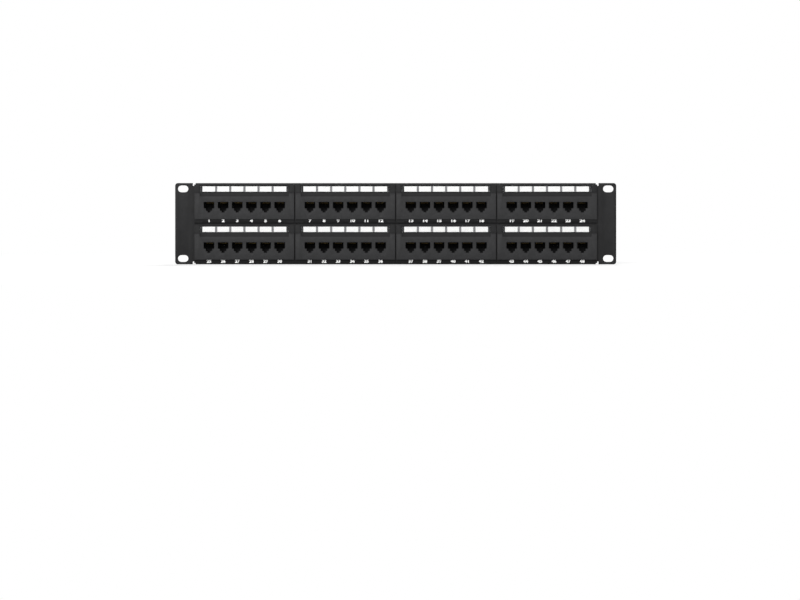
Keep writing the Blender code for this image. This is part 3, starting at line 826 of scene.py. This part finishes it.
def prong(x):
    """One side of a fork, with its tip sloped towards the slot's middle."""
    front = head_front + BAR_DEPTH
    piece = block("prong", PRONG, (x, front + PRONG[1] / 2, strip_middle.z))
    pick(piece, "FACE", lambda c: all(v.y > front + PRONG[1] - TOUCH for v in c))
    bpy.ops.mesh.extrude_region_move(TRANSFORM_OT_translate={"value": (0, PRONG_TIP, 0)})
    bpy.ops.transform.resize(value=(0.5, 1, 1), center_override=(x, front, strip_middle.z))
    done()
    return piece


prongs = []
for side in (-1, 1):
    first = prong(head_left + cell / 2 + side * (PRONG_GAP + PRONG[0]) / 2)
    for head in range(HEADS):
        for slot in range(WIRES):
            shift = Vector((head * (head_width + HEAD_GAP) + slot * cell, 0, 0))
            prongs.append(twin(first, "prong", shift))
    bpy.data.objects.remove(first)
blades = joined(prongs, "blades_upper_1")
print("blades", len(blades.data.polygons), "faces")

# %% The strips and blades of every module
for number in MODULES:
    for level in ("upper", "lower"):
        shift = middle(f"strip_{level}_{number}") - strip_middle
        ivory_strip, forks = strip, blades
        if shift.length > TOUCH:
            ivory_strip = twin(strip, f"punch_strip_{level}_{number}", shift)
            forks = twin(blades, f"blades_{level}_{number}", shift)
        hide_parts(f"strip_{level}_{number}")
        attach(ivory_strip, "panel", ivory)
        attach(forks, "panel", tin)
print("strips", 2 * len(MODULES))

# %% [markdown]
# ## Pair colours
# The installer finds the right slot by the four pair colours, printed as short bars on the
# strip's foot, one bar for each two slots. Each colour is one piece, because one coat of
# ink prints them all.

# %% Colour bars beside the heads
PAIR_COLOURS = {
    "blue": (0.02, 0.10, 0.50),
    "orange": (0.75, 0.20, 0.02),
    "green": (0.02, 0.30, 0.07),
    "brown": (0.16, 0.06, 0.02),
}
PAIR_HEIGHT = 1.3 * MM
PAIR_GAP = 0.8 * MM
PAIR_EDGE = 0.03 * MM
PAIR_PLACE = HEAD_HEIGHT / 2 + 1.15 * MM

for order, (name, color) in enumerate(PAIR_COLOURS.items()):
    x = head_left + (2 * order + 1) * cell
    size = (2 * cell - PAIR_GAP, INK * 2, PAIR_HEIGHT)
    bar = block("pair", size, (x, head_front + INK * 0.9, strip_middle.z + PAIR_PLACE))
    rounded(bar, PAIR_EDGE, 1)
    bars = []
    for number in MODULES:
        for level in ("upper", "lower"):
            for head in range(HEADS):
                shift = middle(f"strip_{level}_{number}") - strip_middle
                shift.x += head * (head_width + HEAD_GAP)
                if level == "lower":
                    shift.z -= 2 * PAIR_PLACE
                bars.append(twin(bar, "pair", shift))
    bpy.data.objects.remove(bar)
    ink = grained(f"{name}_ink", color, 0.5, 0.0002, 0.00001, tone=0.06)
    attach(joined(bars, f"pair_{name}"), "panel", ink)
print("pair colours", list(PAIR_COLOURS))

# %% [markdown]
# ## Labels and their covers
# A label is a strip of white paper with a grey line between the fields of neighbouring
# ports. It lies in the bezel's pocket under a clear cover. Paper never lies quite flat, so
# the strip is cut into short lengths and given a wave of a few hundredths of a millimetre.
# The cover is the softened solid in a clear material: one shader with a plain alpha.

# %% Paper labels with their lines
PAPER_HEIGHT = 5.7 * MM
PAPER_CUTS = 24
WAVE = 0.03 * MM
LINE_WIDTH = 2.5 * MM
LINE_MARGIN = 0.1 * MM          # how much shorter than the paper a line is
LINE_EDGE = 0.01 * MM

label_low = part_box("label_1")[0]
label_middle = middle("label_1")
sheet = span("label_1")
label = block("paper_label_1", (sheet.x, sheet.y - 3 * WAVE, PAPER_HEIGHT), label_middle)
bpy.ops.object.mode_set(mode="EDIT")
for cut in range(1, PAPER_CUTS):
    x = label_low[0] + sheet.x * cut / PAPER_CUTS
    bpy.ops.mesh.select_all(action="SELECT")
    bpy.ops.mesh.bisect(plane_co=(x, 0, 0), plane_no=(1, 0, 0))
done()
for vertex in label.data.vertices:
    phase = (vertex.co.x - label_low[0]) / sheet.x * math.tau * 3
    vertex.co.y += WAVE * math.sin(phase)
print("label", len(label.data.polygons), "faces")

lines = []
for gap in range(1, PORTS):
    x = label_middle.x + (gap - PORTS / 2) * PORT_PITCH
    size = (LINE_WIDTH, INK, PAPER_HEIGHT - LINE_MARGIN)
    line = block("line", size, (x, label_low[1] + WAVE * 0.4, label_middle.z))
    lines.append(rounded(line, LINE_EDGE, 1))
label_lines = joined(lines, "label_lines_1")

# %% Clear covers, and the copies for all modules
COVER_EDGE = 0.2 * MM

cover = rounded(welded("cover_1", "clear_cover_1"), COVER_EDGE)
clear = bpy.data.materials.new("clear_cover")
clear.use_nodes = True
shader = clear.node_tree.nodes["Principled BSDF"]
shader.inputs["Base Color"].default_value = (0.16, 0.165, 0.17, 1)
shader.inputs["Roughness"].default_value = 0.12
shader.inputs["IOR"].default_value = 1.49
shader.inputs["Alpha"].default_value = 0.07

for number in MODULES:
    shift = middle(f"label_{number}") - label_middle
    body = f"label_window_{number}"
    parts = (label, label_lines, cover)
    if number > 1:
        parts = (twin(label, f"paper_label_{number}", shift),
                 twin(label_lines, f"label_lines_{number}", shift),
                 twin(cover, f"clear_cover_{number}", shift))
    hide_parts(f"label_{number}")
    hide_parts(f"cover_{number}")
    attach(parts[0], body, paper)
    attach(parts[1], body, ink_grey)
    attach(parts[2], body, clear)
print("covers", len(cover.data.polygons), "faces each")

# %% [markdown]
# ## Cable bars
# Each bar is bent from one strip of thin steel, so its softened copy needs only the coat.
# The upper bar is the lower one turned over, but here each is read from its own solid.

# %% Cable bars
TIE_SLOTS = 50
TIE_PITCH = 8.2 * MM
BAR_EDGE = 0.2 * MM

stud = span("frame").x / 2 - STUD_INSET
bar_cuts = [(index - (TIE_SLOTS - 1) / 2) * TIE_PITCH for index in range(TIE_SLOTS)]
for level in ("lower", "upper"):
    bar = welded(f"bar_{level}", f"cable_bar_{level}", [-stud, *bar_cuts, stud])
    rounded(bar, BAR_EDGE)
    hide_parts(f"bar_{level}")
    attach(bar, f"cable_bar_{level}", bar_coat)
print("cable bar", len(bar.data.polygons), "faces")
